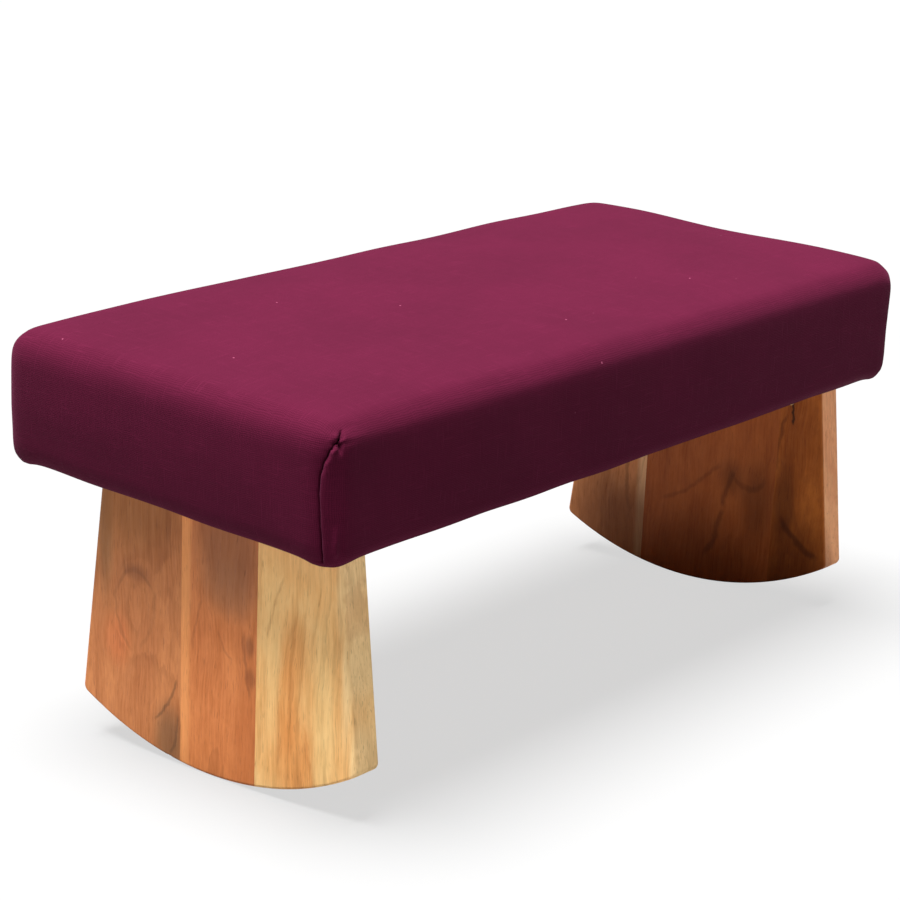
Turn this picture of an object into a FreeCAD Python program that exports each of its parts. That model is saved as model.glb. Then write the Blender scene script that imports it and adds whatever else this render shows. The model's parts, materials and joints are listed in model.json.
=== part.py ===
import FreeCAD, Part
import math
import os
import re
import Sketcher

# A low kneeling bench: a padded seat on two folding leg panels with curved feet, on which it rocks.
#
# The pieces are drawn in the bench's own axes: X runs along the seat, Y from its front edge to its
# rear edge and Z up, square to the seat board, whose underside is the plane Z = 0. The standing
# placement then tips the bench forward by the seat's slope and sets its curved feet on the floor.

DIMENSIONS = {
    # The cushion: a board, a foam pad and a cover round both
    "cushion_length": 460.0,
    "cushion_depth": 218.0,
    "cushion_corner_radius": 20.0,
    "cushion_top_radius": 11.5,
    "cushion_bottom_radius": 10.0,
    "board_thickness": 15.0,
    "board_front_joint": -50.0,
    "board_rear_joint": 42.0,
    "foam_thickness": 48.5,
    "cover_thickness": 1.5,
    "hem_width": 17.0,
    # The staples along the hem
    "staple_spacing": 27.0,
    "staple_inset": 13.0,
    "staple_crown": 10.0,
    "staple_wire": 0.8,
    "staple_length": 8.0,
    # The legs
    "seat_slope": 3.03,
    "leg_inset": 27.0,
    "leg_thickness": 16.0,
    "leg_setback": 31.5,
    "leg_centre": -12.0,
    "leg_flare": 7.0,
    "leg_corner_radius": 4.0,
    "leg_edge_radius": 1.5,
    "rocker_radius": 188.0,
    "rocker_centre_height": 50.5,
    "left_front_joint": -39.0,
    "left_rear_joint": 11.0,
    "right_front_joint": -65.0,
    "right_rear_joint": 24.0,
    # The hinges, two to a leg
    "hinge_margin": 16.0,
    "leaf_length": 40.0,
    "leaf_width": 15.0,
    "leaf_thickness": 1.5,
    "leaf_corner_radius": 1.5,
    "knuckle_radius": 2.5,
    "knuckle_gap": 0.2,
    "knuckle_clearance": 0.3,
    "pin_radius": 1.25,
    "pin_clearance": 0.05,
    # The wood screws
    "screw_spacing": 16.0,
    "screw_reach": 9.0,
    "screw_length": 11.0,
    "screw_head_radius": 2.9,
    "screw_shank_radius": 1.4,
    "screw_tip_length": 2.5,
    "screw_clearance": 0.05,
    "screw_slot_width": 0.8,
    "screw_slot_length": 3.4,
    "screw_slot_depth": 0.9,
    # The catch magnets
    "magnet_radius": 5.0,
    "magnet_thickness": 4.0,
    "magnet_reach": 12.0,
    "magnet_clearance": 0.05,
}

KNUCKLES = 5
SIDES = {"left": -1, "right": 1}
ENDS = {"front": -1, "rear": 1}

doc = FreeCAD.newDocument("KneelingBench")
sheet = doc.addObject("Spreadsheet::Sheet", "Dimensions")
for row, (alias, value) in enumerate(DIMENSIONS.items(), start=1):
    sheet.set(f"A{row}", alias)
    sheet.set(f"B{row}", str(value))
    sheet.setAlias(f"B{row}", alias)
doc.recompute()

parts = []


# Expressions

def bind(item, prop, text):
    """Bind a property to an expression in which the sheet's aliases stand alone."""
    def cell(match):
        return "Dimensions." + match[0] if match[0] in DIMENSIONS else match[0]
    item.setExpression(prop, re.sub(r"[a-z_]+", cell, text))


def size(alias):
    """The value in one of the sheet's cells."""
    return float(getattr(sheet, alias))


NO_TURN = "rotation(vector(0; 0; 1); 0 deg)"
HALF_TURN = "rotation(vector(0; 0; 1); 180 deg)"
ALONG_FRONT = "rotation(vector(1; 0; 0); 90 deg)"
ALONG_RIGHT = "rotation(vector(0; 1; 0); 90 deg)"
ALONG_LEFT = "rotation(vector(0; 1; 0); -90 deg)"
QUARTER_TURN = "rotation(vector(0; 0; 1); 90 deg)"


def at(x, y, z, turn=NO_TURN):
    """The expression of a placement at a point given as expressions."""
    return f"placement(vector({x}; {y}; {z}); {turn})"


SLOPE = "seat_slope * 1 deg"
CUSHION_HEIGHT = "(board_thickness + foam_thickness + cover_thickness)"
STANDING = at("0", f"{CUSHION_HEIGHT} / 2 * sin({SLOPE})",
              f"rocker_radius - rocker_centre_height * cos({SLOPE})",
              f"rotation(vector(1; 0; 0); {SLOPE})")

BOARD_LENGTH = "(cushion_length - 2 * cover_thickness)"
BOARD_DEPTH = "(cushion_depth - 2 * cover_thickness)"
BOARD_CORNER = "(cushion_corner_radius - cover_thickness)"
LEG_OUTER = "(cushion_length / 2 - leg_inset)"
LEG_INNER = f"({LEG_OUTER} - leg_thickness)"
LEG_TOP_WIDTH = "(cushion_depth - 2 * leg_setback)"
HINGE_REACH = f"({LEG_TOP_WIDTH} / 2 - hinge_margin - leaf_length / 2)"
PIN_REACH = "(knuckle_radius + knuckle_clearance)"


def keep(item, label, placement=STANDING):
    """Name a finished sub-part, stand it in its place and list it for export."""
    item.Label = label
    bind(item, "Placement", placement)
    parts.append(item)


# Features

def new_body(name):
    return doc.addObject("PartDesign::Body", name)


def primitive(body, kind, placement, **sizes):
    """Add a PartDesign primitive, such as AdditiveBox, to a body."""
    feature = body.newObject("PartDesign::" + kind, kind)
    for prop, text in sizes.items():
        bind(feature, prop, text)
    bind(feature, "Placement", placement)
    doc.recompute()
    return feature


def fillet(body, radius, chosen):
    """Round the edges of a body's last feature for which chosen(edge) is true."""
    base = body.Tip
    names = [f"Edge{number}" for number, edge in enumerate(base.Shape.Edges, start=1) if chosen(edge)]
    feature = body.newObject("PartDesign::Fillet", "Fillet")
    feature.Base = (base, names)
    bind(feature, "Radius", radius)
    doc.recompute()
    return feature


def middle(edge):
    """The point halfway along an edge."""
    return edge.valueAt((edge.FirstParameter + edge.LastParameter) / 2)


def is_upright(edge):
    direction = edge.tangentAt(edge.FirstParameter)
    return abs(direction.z) > 0.999


def is_level_at(height):
    """A test for edges that lie in the plane at a height."""
    def test(edge):
        return all(abs(vertex.Z - height) < 1e-4 for vertex in edge.Vertexes)
    return test


def rounded_block(name, length, depth, corner):
    """A block centred on the Z axis, with its four upright corners rounded."""
    def build(bottom, height):
        body = new_body(name)
        primitive(body, "AdditiveBox", at(f"-{length} / 2", f"-{depth} / 2", bottom),
                  Length=length, Width=depth, Height=height)
        fillet(body, corner, is_upright)
        return body
    return build


def slab(name, low_y, high_y):
    """A box that holds everything between two planes square to Y."""
    box = doc.addObject("Part::Box", name)
    bind(box, "Length", "2 * cushion_length")
    bind(box, "Width", f"{high_y} - ({low_y})")
    bind(box, "Height", "4 * rocker_radius")
    bind(box, "Placement", at("-cushion_length", low_y, "-2 * rocker_radius"))
    return box


def staves(panel, names, front_joint, rear_joint):
    """Divide a glued panel into its three staves along its two glue joints."""
    limits = ["-cushion_depth", front_joint, rear_joint, "cushion_depth"]
    for name, low, high in zip(names, limits, limits[1:]):
        stave = doc.addObject("Part::Common", name)
        stave.Base = panel
        stave.Tool = slab(name + "_slab", low, high)
        keep(stave, name)


def copies(label, original, places):
    """A group of separate solids, one at each place."""
    links = []
    for number, place in enumerate(places, start=1):
        link = doc.addObject("App::Link", f"{label}_{number}")
        link.LinkedObject = original
        link.LinkTransform = False
        bind(link, "Placement", place)
        links.append(link)
    group = doc.addObject("Part::Compound", label)
    group.Links = links
    keep(group, label)


def hinge_y(end):
    """Where a leg's front or rear hinge has its middle."""
    return f"(leg_centre + {ENDS[end]} * {HINGE_REACH})"


def screw_ys():
    """Where the screws of the front and rear hinges of a leg lie along Y."""
    return [f"{hinge_y(end)} + {step} * screw_spacing" for end in ENDS for step in (-1, 0, 1)]


def magnet_ys():
    return [f"leg_centre + {sign} * magnet_reach" for sign in ENDS.values()]


# The seat

def seat_board():
    """The board: three staves, with pilot holes and magnet holes in its underside."""
    body = rounded_block("seat_board", BOARD_LENGTH, BOARD_DEPTH, BOARD_CORNER)("0", "board_thickness")
    fillet(body, "cushion_bottom_radius - cover_thickness", is_level_at(0))
    for side in SIDES.values():
        for y in screw_ys():
            primitive(body, "SubtractiveCylinder",
                      at(f"{side} * ({LEG_INNER} - {PIN_REACH} - screw_reach)", y, "0"),
                      Radius="screw_shank_radius + screw_clearance",
                      Height="screw_length - leaf_thickness + screw_clearance")
        for y in magnet_ys():
            primitive(body, "SubtractiveCylinder",
                      at(f"{side} * ({LEG_OUTER} - leg_thickness / 2)", y, "0"),
                      Radius="magnet_radius + magnet_clearance", Height="magnet_thickness")
    names = [f"seat_board_{place}_stave" for place in ("front", "middle", "rear")]
    staves(body, names, "board_front_joint", "board_rear_joint")


def foam_pad():
    """The foam, the size of the board, with a soft upper edge."""
    build = rounded_block("foam_pad", BOARD_LENGTH, BOARD_DEPTH, BOARD_CORNER)
    body = build("board_thickness", "foam_thickness")
    top = size("board_thickness") + size("foam_thickness")
    fillet(body, "cushion_top_radius - cover_thickness", is_level_at(top))
    keep(body, "foam_pad")


def cushion_envelope(name, shrink):
    """The cushion's whole outline, drawn in by a distance on every side."""
    build = rounded_block(name, f"(cushion_length - 2 * {shrink})", f"(cushion_depth - 2 * {shrink})",
                          f"cushion_corner_radius - {shrink}")
    body = build(f"{shrink} - cover_thickness", f"{CUSHION_HEIGHT} + cover_thickness - 2 * {shrink}")
    levels = [vertex.Z for vertex in body.Shape.Vertexes]
    fillet(body, f"cushion_top_radius - {shrink}", is_level_at(max(levels)))
    fillet(body, f"cushion_bottom_radius - {shrink}", is_level_at(min(levels)))
    return body


def cover():
    """The fabric: a skin round the foam and the board's edge, open inside its hem."""
    skin = doc.addObject("Part::Cut", "cover_skin")
    skin.Base = cushion_envelope("cover_outside", "0")
    skin.Tool = cushion_envelope("cover_inside", "cover_thickness")
    opening = doc.addObject("Part::Box", "hem_opening")
    bind(opening, "Length", "cushion_length - 2 * hem_width")
    bind(opening, "Width", "cushion_depth - 2 * hem_width")
    bind(opening, "Height", "2 * cover_thickness")
    bind(opening, "Placement", at("hem_width - cushion_length / 2", "hem_width - cushion_depth / 2",
                                  "-cover_thickness * 1.5"))
    hemmed = doc.addObject("Part::Cut", "cover")
    hemmed.Base = skin
    hemmed.Tool = opening
    keep(hemmed, "cover")


def staple():
    """A staple with its crown along X, just under Z = 0, and its two prongs upward."""
    body = new_body("staple")
    primitive(body, "AdditiveBox", at("-staple_crown / 2", "-staple_wire / 2", "-staple_wire"),
              Length="staple_crown", Width="staple_wire", Height="staple_wire")
    for start in ("-staple_crown / 2", "staple_crown / 2 - staple_wire"):
        primitive(body, "AdditiveBox", at(start, "-staple_wire / 2", "-staple_wire"),
                  Length="staple_wire", Width="staple_wire", Height="staple_length")
    return body


def staple_places():
    """A row of staples along each edge of the hem, as evenly spaced as they fit."""
    places = []
    rows = (("cushion_length", "cushion_depth", True), ("cushion_depth", "cushion_length", False))
    for along, across, runs_in_x in rows:
        row_length = size(along) - 2 * size("cushion_corner_radius") - size("staple_crown")
        steps = int(row_length // size("staple_spacing"))
        for sign in (-1, 1):
            line = f"{sign} * ({across} / 2 - staple_inset)"
            for step in range(steps + 1):
                place = f"{step - steps / 2} * staple_spacing"
                if runs_in_x:
                    places.append(at(place, line, "-cover_thickness"))
                else:
                    places.append(at(line, place, "-cover_thickness", QUARTER_TURN))
    return places


# The legs

def leg_panel(name, side):
    """A leg before it is divided into staves: a flared panel with a curved foot."""
    body = new_body(name)
    sketch = body.newObject("Sketcher::SketchObject", name + "_outline")
    plane = next(item for item in body.Origin.OriginFeatures if item.Role == "YZ_Plane")
    sketch.AttachmentSupport = (plane, [""])
    sketch.MapMode = "FlatFace"
    draw_leg_outline(sketch)
    pad = body.newObject("PartDesign::Pad", name + "_panel")
    pad.Profile = sketch
    bind(pad, "Length", "leg_thickness")
    doc.recompute()
    thickness = size("leg_thickness")

    def crosses(edge):
        return abs(edge.Vertexes[0].X - edge.Vertexes[-1].X) > thickness / 2 and middle(edge).z < -1

    def is_arris(edge):
        in_face = any(all(abs(vertex.X - x) < 1e-4 for vertex in edge.Vertexes) for x in (0, thickness))
        return in_face and middle(edge).z < -1e-3

    fillet(body, "leg_corner_radius", crosses)
    fillet(body, "leg_edge_radius", is_arris)
    drill_leg(body, side)
    start = f"-{LEG_OUTER}" if side < 0 else LEG_INNER
    bind(body, "Placement", at(start, "0", "0"))
    return body


def draw_leg_outline(sketch):
    """The outline: a level top, two flared sides and one arc for the foot."""
    point = FreeCAD.Vector
    flare = math.radians(size("leg_flare"))
    radius = size("rocker_radius")
    centre = point(0, size("rocker_centre_height"), 0)
    reach = size("cushion_depth") / 2 - size("leg_setback")
    tops = [point(size("leg_centre") + sign * reach, 0, 0) for sign in ENDS.values()]
    feet = []
    for top, sign in zip(tops, ENDS.values()):
        down = point(sign * math.sin(flare), -math.cos(flare), 0)
        away = top - centre
        along = -away.dot(down) + math.sqrt(away.dot(down) ** 2 - away.dot(away) + radius ** 2)
        feet.append(top + down * along)
    angles = [math.atan2(foot.y - centre.y, foot.x - centre.x) for foot in feet]
    circle = Part.Circle(centre, point(0, 0, 1), radius)
    top_edge, front_side, rear_side, foot_arc = range(4)
    sketch.addGeometry([Part.LineSegment(tops[0], tops[1]), Part.LineSegment(feet[0], tops[0]),
                        Part.LineSegment(feet[1], tops[1]), Part.ArcOfCircle(circle, *angles)], False)
    start, end, centre_point, axis_x, axis_y = 1, 2, 3, -1, -2
    rule = Sketcher.Constraint
    sketch.addConstraint([rule("Coincident", top_edge, start, front_side, end),
                          rule("Coincident", top_edge, end, rear_side, end),
                          rule("Coincident", foot_arc, start, front_side, start),
                          rule("Coincident", foot_arc, end, rear_side, start),
                          rule("PointOnObject", top_edge, start, axis_x),
                          rule("PointOnObject", top_edge, end, axis_x),
                          rule("PointOnObject", foot_arc, centre_point, axis_y)])
    sized = {
        "front_corner": (rule("DistanceX", top_edge, start, axis_x, 1, -tops[0].x),
                         f"{LEG_TOP_WIDTH} / 2 - leg_centre"),
        "top_width": (rule("DistanceX", top_edge, start, top_edge, end, tops[1].x - tops[0].x),
                      LEG_TOP_WIDTH),
        "front_lean": (rule("Angle", front_side, math.pi / 2 - flare), "90 deg - leg_flare * 1 deg"),
        "rear_lean": (rule("Angle", rear_side, math.pi / 2 + flare), "90 deg + leg_flare * 1 deg"),
        "foot_radius": (rule("Radius", foot_arc, radius), "rocker_radius"),
        "foot_centre": (rule("DistanceY", axis_x, 1, foot_arc, centre_point, centre.y),
                        "rocker_centre_height"),
    }
    for name, (constraint, text) in sized.items():
        sketch.renameConstraint(sketch.addConstraint(constraint), name)
        bind(sketch, "Constraints." + name, text)
    doc.recompute()
    if not sketch.FullyConstrained:
        raise RuntimeError("the leg outline is not fully constrained")


def drill_leg(body, side):
    """Pilot holes in the leg's inner face and magnet holes in its top edge."""
    inner_face = "leg_thickness" if side < 0 else "0"
    inward = ALONG_LEFT if side < 0 else ALONG_RIGHT
    for y in screw_ys():
        primitive(body, "SubtractiveCylinder", at(inner_face, y, f"-{PIN_REACH} - screw_reach", inward),
                  Radius="screw_shank_radius + screw_clearance",
                  Height="screw_length - leaf_thickness + screw_clearance")
    for y in magnet_ys():
        primitive(body, "SubtractiveCylinder", at("leg_thickness / 2", y, "-magnet_thickness"),
                  Radius="magnet_radius + magnet_clearance", Height="magnet_thickness")


# The hinges: drawn with the pin along Y through the origin, the leaf towards +X and the wood above it

def knuckle_limits(number):
    """Where a knuckle starts and ends along the pin, as expressions."""
    return [f"({edge} / {KNUCKLES} - 0.5) * leaf_length" for edge in (number, number + 1)]


def hinge_leaf(label, own_knuckles, bore_radius, placement):
    """A leaf with its own knuckles, cut back round those of the other leaf."""
    body = new_body(label)
    primitive(body, "AdditiveBox", at("0", "-leaf_length / 2", f"{PIN_REACH} - leaf_thickness"),
              Length="leaf_width", Width="leaf_length", Height="leaf_thickness")
    far_edge = size("leaf_width")
    fillet(body, "leaf_corner_radius",
           lambda edge: is_upright(edge) and abs(edge.Vertexes[0].X - far_edge) < 1e-4)
    primitive(body, "AdditiveCylinder", at("0", "leaf_length / 2", "0", ALONG_FRONT),
              Radius="knuckle_radius", Height="leaf_length")
    primitive(body, "SubtractiveCylinder", at("0", "leaf_length", "0", ALONG_FRONT),
              Radius=bore_radius, Height="2 * leaf_length")
    for number in range(KNUCKLES):
        if number not in own_knuckles:
            low, high = knuckle_limits(number)
            primitive(body, "SubtractiveBox",
                      at(f"-2 * {PIN_REACH}", f"{low} - knuckle_gap / 2", f"-2 * {PIN_REACH}"),
                      Length=f"3 * {PIN_REACH}", Width=f"{high} - ({low}) + knuckle_gap",
                      Height=f"4 * {PIN_REACH}")
    for step in (-1, 0, 1):
        primitive(body, "SubtractiveCone",
                  at("screw_reach", f"{step} * screw_spacing", f"{PIN_REACH} - leaf_thickness"),
                  Radius1="screw_head_radius + screw_clearance",
                  Radius2="screw_shank_radius + screw_clearance", Height="leaf_thickness")
    keep(body, label, placement)


def hinge_pin(label, placement):
    body = new_body(label)
    primitive(body, "AdditiveCylinder", at("0", "leaf_length / 2", "0", ALONG_FRONT),
              Radius="pin_radius", Height="leaf_length")
    keep(body, label, placement)


def hinges():
    """Four hinges: a seat leaf with the outer and middle knuckles, a leg leaf with the others."""
    leg_turns = {"left": "rotation(vector(1; 0; -1); 180 deg)", "right": ALONG_RIGHT}
    seat_turns = {"left": NO_TURN, "right": HALF_TURN}
    for side, sign in SIDES.items():
        for end in ENDS:
            pin = (f"{sign} * ({LEG_INNER} - {PIN_REACH})", hinge_y(end), f"-{PIN_REACH}")
            name = f"{side}_{end}_hinge"
            hinge_leaf(name + "_seat_leaf", range(0, KNUCKLES, 2), "pin_radius",
                       STANDING + " * " + at(*pin, seat_turns[side]))
            hinge_leaf(name + "_leg_leaf", range(1, KNUCKLES, 2), "pin_radius + pin_clearance",
                       STANDING + " * " + at(*pin, leg_turns[side]))
            hinge_pin(name + "_pin", STANDING + " * " + at(*pin))


def wood_screw():
    """A countersunk screw with a cross slot, its head at Z = 0 and its point upward."""
    body = new_body("wood_screw")
    primitive(body, "AdditiveCone", at("0", "0", "0"), Radius1="screw_head_radius",
              Radius2="screw_shank_radius", Height="leaf_thickness")
    primitive(body, "AdditiveCylinder", at("0", "0", "leaf_thickness"), Radius="screw_shank_radius",
              Height="screw_length - screw_tip_length - leaf_thickness")
    primitive(body, "AdditiveCone", at("0", "0", "screw_length - screw_tip_length"),
              Radius1="screw_shank_radius", Radius2="screw_shank_radius / 5", Height="screw_tip_length")
    for length, width in (("screw_slot_length", "screw_slot_width"),
                          ("screw_slot_width", "screw_slot_length")):
        primitive(body, "SubtractiveBox", at(f"-{length} / 2", f"-{width} / 2", "0"),
                  Length=length, Width=width, Height="screw_slot_depth")
    return body


def screws():
    """The screws of the seat leaves point up and those of the leg leaves outward."""
    screw = wood_screw()
    for side, sign in SIDES.items():
        seat_x = f"{sign} * ({LEG_INNER} - {PIN_REACH} - screw_reach)"
        leg_x = f"{sign} * ({LEG_INNER} - leaf_thickness)"
        outward = ALONG_LEFT if sign < 0 else ALONG_RIGHT
        copies(side + "_hinge_seat_screws", screw, [at(seat_x, y, "-leaf_thickness") for y in screw_ys()])
        copies(side + "_hinge_leg_screws", screw,
               [at(leg_x, y, f"-{PIN_REACH} - screw_reach", outward) for y in screw_ys()])


def magnets():
    """Round catch magnets, flush with the board's underside and with each leg's top edge."""
    body = new_body("magnet")
    primitive(body, "AdditiveCylinder", at("0", "0", "0"),
              Radius="magnet_radius", Height="magnet_thickness")
    middles = {side: f"{sign} * ({LEG_OUTER} - leg_thickness / 2)" for side, sign in SIDES.items()}
    copies("seat_magnets", body, [at(x, y, "0") for x in middles.values() for y in magnet_ys()])
    for side, x in middles.items():
        copies(side + "_leg_magnets", body, [at(x, y, "-magnet_thickness") for y in magnet_ys()])


def write_parts():
    """Check every object of the document, then write each sub-part to its own file."""
    doc.recompute()
    for item in doc.Objects:
        if "Invalid" in item.State or "Error" in item.State:
            raise RuntimeError(f"{item.Name} failed: {item.State}")
    for item in parts:
        if item.Shape.isNull() or not item.Shape.isValid() or not item.Shape.Solids:
            raise RuntimeError(f"{item.Label} has no valid solid")
    os.makedirs("parts", exist_ok=True)
    for item in parts:
        item.Shape.exportStep(f"parts/{item.Label}.step")
        print(item.Label, len(item.Shape.Solids), round(item.Shape.Volume, 1))


seat_board()
foam_pad()
cover()
copies("cover_staples", staple(), staple_places())
for side_name, side_sign in SIDES.items():
    leg_names = [f"{side_name}_leg_{place}_stave" for place in ("front", "middle", "rear")]
    staves(leg_panel(side_name + "_leg", side_sign), leg_names,
           side_name + "_front_joint", side_name + "_rear_joint")
hinges()
screws()
magnets()
write_parts()
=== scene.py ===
import json
import math

import bmesh
import bpy
import numpy as np
from bpy.props import FloatProperty, FloatVectorProperty, IntProperty, PointerProperty
from mathutils import Euler, Matrix, Vector, noise


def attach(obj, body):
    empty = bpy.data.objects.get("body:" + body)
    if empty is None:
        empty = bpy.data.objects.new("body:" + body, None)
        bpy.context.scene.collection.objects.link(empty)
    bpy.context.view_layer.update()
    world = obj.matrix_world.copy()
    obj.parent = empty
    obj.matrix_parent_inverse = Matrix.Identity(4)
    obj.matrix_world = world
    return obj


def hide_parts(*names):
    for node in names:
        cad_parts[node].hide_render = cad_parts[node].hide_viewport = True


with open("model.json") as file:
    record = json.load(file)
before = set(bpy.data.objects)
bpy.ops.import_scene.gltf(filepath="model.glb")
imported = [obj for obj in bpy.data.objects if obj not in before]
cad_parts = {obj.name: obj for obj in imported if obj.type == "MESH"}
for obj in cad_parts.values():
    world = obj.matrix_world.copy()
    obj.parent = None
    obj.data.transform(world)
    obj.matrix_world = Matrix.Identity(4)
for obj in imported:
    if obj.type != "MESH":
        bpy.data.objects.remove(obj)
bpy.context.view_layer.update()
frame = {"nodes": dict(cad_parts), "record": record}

bl_info = {
    "name": "Kneeling Bench",
    "version": (1, 0, 0),
    "blender": (4, 5, 0),
    "location": "View3D > Sidebar > Bench",
    "description": "Dresses a low rocking kneeling bench: padded cover, oiled staves, hinges and stage",
    "category": "Object",
}

SIDES = ("left", "right")
ENDS = ("front", "rear")


# The bench's own axes: X along the seat, Y to its rear, Z square to the seat board, whose underside
# is Z = 0. The seat's slope tips them forward in the row frame.

def node_corners(node, matrix):
    """Lowest and highest corner of a CAD node, measured along the axes of a matrix."""
    points = [matrix @ vertex.co for vertex in frame["nodes"][node].data.vertices]
    low = Vector(min(point[axis] for point in points) for axis in range(3))
    high = Vector(max(point[axis] for point in points) for axis in range(3))
    return low, high


def bench_matrix():
    """Turns a point in the bench's axes into the row frame."""
    mount = next(item for item in frame["record"]["mounts"] if item["name"] == "seat_top")
    along = Vector((1, 0, 0))
    up = Vector(mount["axis"]).normalized()
    turn = Matrix((along, up.cross(along), up)).transposed().to_4x4()
    turn.translation = Vector(mount["pos_m"])
    underside = node_corners("seat_board_middle_stave", turn.inverted())[0].z
    return turn @ Matrix.Translation((0, 0, underside))


BENCH = bench_matrix()
TO_BENCH = BENCH.inverted()
COVER_LOW, COVER_HIGH = node_corners("cover", TO_BENCH)
FOAM_LOW, FOAM_HIGH = node_corners("foam_pad", TO_BENCH)
SLOPE = math.atan2(BENCH[2][1], BENCH[1][1])


class CushionSettings(bpy.types.PropertyGroup):
    """Sizes and colours of the padded seat."""
    corner_radius: FloatProperty(
        name="Corner radius", description="Radius of the cushion's upright corners",
        default=0.0135, unit="LENGTH")
    edge_radius: FloatProperty(
        name="Upper edge radius", description="Radius of the edge round the top",
        default=0.0125, unit="LENGTH")
    hem_edge_radius: FloatProperty(
        name="Lower edge radius", description="Radius where the cloth turns under the board",
        default=0.0090, unit="LENGTH")
    hem_width: FloatProperty(
        name="Hem width", description="How far the cloth reaches in under the board",
        default=0.0165, unit="LENGTH")
    cloth_thickness: FloatProperty(
        name="Cloth thickness", description="Thickness of the canvas", default=0.0012, unit="LENGTH")
    voxel: FloatProperty(
        name="Cloth grid", description="Spacing of the mesh that is simulated",
        default=0.0049, unit="LENGTH")
    pressure: FloatProperty(
        name="Foam pressure", description="How hard the foam presses on the cloth", default=4.0)
    most_swell: FloatProperty(
        name="Most swell", description="Furthest that the cloth may move from its cut shape",
        default=0.0030, unit="LENGTH")
    most_pull_in: FloatProperty(
        name="Most pull-in", description="Furthest that tight cloth may draw inward",
        default=0.0, unit="LENGTH")
    crown_smoothing: IntProperty(
        name="Crown smoothing", description="How many times the swell is evened out", default=40)
    swell_frames: IntProperty(
        name="Swell frames", description="Length of the cloth simulation", default=20)
    cloth_colour: FloatVectorProperty(
        name="Cloth", description="Colour of the canvas", subtype="COLOR",
        default=(0.0590, 0.0031, 0.0165))
    slub_colour: FloatVectorProperty(
        name="Slubs", description="Colour of the thicker threads", subtype="COLOR",
        default=(0.0905, 0.0066, 0.0280))
    foam_colour: FloatVectorProperty(
        name="Foam", description="Colour of the foam pad", subtype="COLOR",
        default=(0.72, 0.62, 0.36))


class StageSettings(bpy.types.PropertyGroup):
    """Camera, light and floor."""
    azimuth: FloatProperty(
        name="Azimuth", description="Camera's direction round the bench from its front",
        default=math.radians(-49.5), subtype="ANGLE")
    elevation: FloatProperty(
        name="Elevation", description="Camera's height above the horizon",
        default=math.radians(15.85), subtype="ANGLE")
    distance: FloatProperty(
        name="Distance", description="Camera's distance from its target",
        default=1.3225, unit="LENGTH")
    lens: FloatProperty(
        name="Lens", description="Focal length in millimetres", default=101.65)
    target: FloatVectorProperty(
        name="Target", description="Point that the camera looks at", subtype="TRANSLATION",
        unit="LENGTH", default=(-0.0144, 0.0102, 0.1185))
    floor_size: FloatProperty(
        name="Floor size", description="Width of the floor", default=9.0, unit="LENGTH")
    floor_colour: FloatVectorProperty(
        name="Floor", description="Colour of the floor", subtype="COLOR", default=(0.089, 0.089, 0.089))
    floor_bounce: FloatVectorProperty(
        name="Floor bounce", description="Colour that the floor throws on the bench", subtype="COLOR",
        default=(0.27, 0.27, 0.27))
    floor_glow: FloatProperty(
        name="Floor glow", description="Light from under the translucent floor", default=0.64)
    room_light: FloatProperty(
        name="Room light", description="Strength of the even light from all round", default=0.177)
    top_light: FloatProperty(
        name="Top light", description="Strength of the wide light overhead", default=13.3)
    top_light_spread: FloatProperty(
        name="Top light spread", description="How wide the overhead light looks from the bench",
        default=math.radians(38), subtype="ANGLE")
    top_light_direction: FloatVectorProperty(
        name="Top light direction", description="Where the overhead light is", subtype="DIRECTION",
        default=(-0.105, 0.11, 0.98))


# Node trees

class Tree:
    """Adds nodes to a tree. An input is given as a value or as the socket that feeds it."""

    def __init__(self, tree):
        self.tree = tree

    def add(self, kind, inputs=None, **settings):
        node = self.tree.nodes.new(kind)
        for name, value in settings.items():
            setattr(node, name, value)
        for name, value in (inputs or {}).items():
            if isinstance(value, bpy.types.NodeSocket):
                self.tree.links.new(value, node.inputs[name])
            else:
                node.inputs[name].default_value = value
        return node

    def math(self, operation, *values):
        return self.add("ShaderNodeMath", dict(enumerate(values)), operation=operation).outputs[0]

    def vector(self, operation, *values):
        node = self.add("ShaderNodeVectorMath", dict(enumerate(values)), operation=operation)
        return node.outputs["Value" if operation in ("LENGTH", "DOT_PRODUCT") else "Vector"]

    def mix(self, factor, first, second, blend="MIX"):
        """Mixes two colours."""
        node = self.add("ShaderNodeMix", data_type="RGBA", blend_type=blend)
        for index, value in ((0, factor), (6, first), (7, second)):
            if isinstance(value, bpy.types.NodeSocket):
                self.tree.links.new(value, node.inputs[index])
            elif index == 0:
                node.inputs[index].default_value = value
            else:
                node.inputs[index].default_value = (*value[:3], 1)
        return node.outputs[2]

    def span(self, value, low, high, to_low=0.0, to_high=1.0):
        """Maps a value smoothly from one range to another, and clamps it."""
        node = self.add("ShaderNodeMapRange", {0: value, 1: low, 2: high, 3: to_low, 4: to_high},
                        interpolation_type="SMOOTHSTEP")
        return node.outputs[0]

    def noise(self, vector, scale, detail=2.0, roughness=0.5, distortion=0.0):
        node = self.add("ShaderNodeTexNoise", {"Vector": vector, "Scale": scale, "Detail": detail,
                                               "Roughness": roughness, "Distortion": distortion})
        return node.outputs["Fac"]

    def feed(self, sockets, **sources):
        """Links sources to the sockets that have their names."""
        for name, source in sources.items():
            self.tree.links.new(source, sockets[name])

    def group(self, name, **inputs):
        node = self.add("ShaderNodeGroup", node_tree=bpy.data.node_groups[name])
        for key, value in inputs.items():
            socket = node.inputs[key.replace("_", " ")]
            if isinstance(value, bpy.types.NodeSocket):
                self.tree.links.new(value, socket)
            else:
                socket.default_value = value
        return node.outputs


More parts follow.
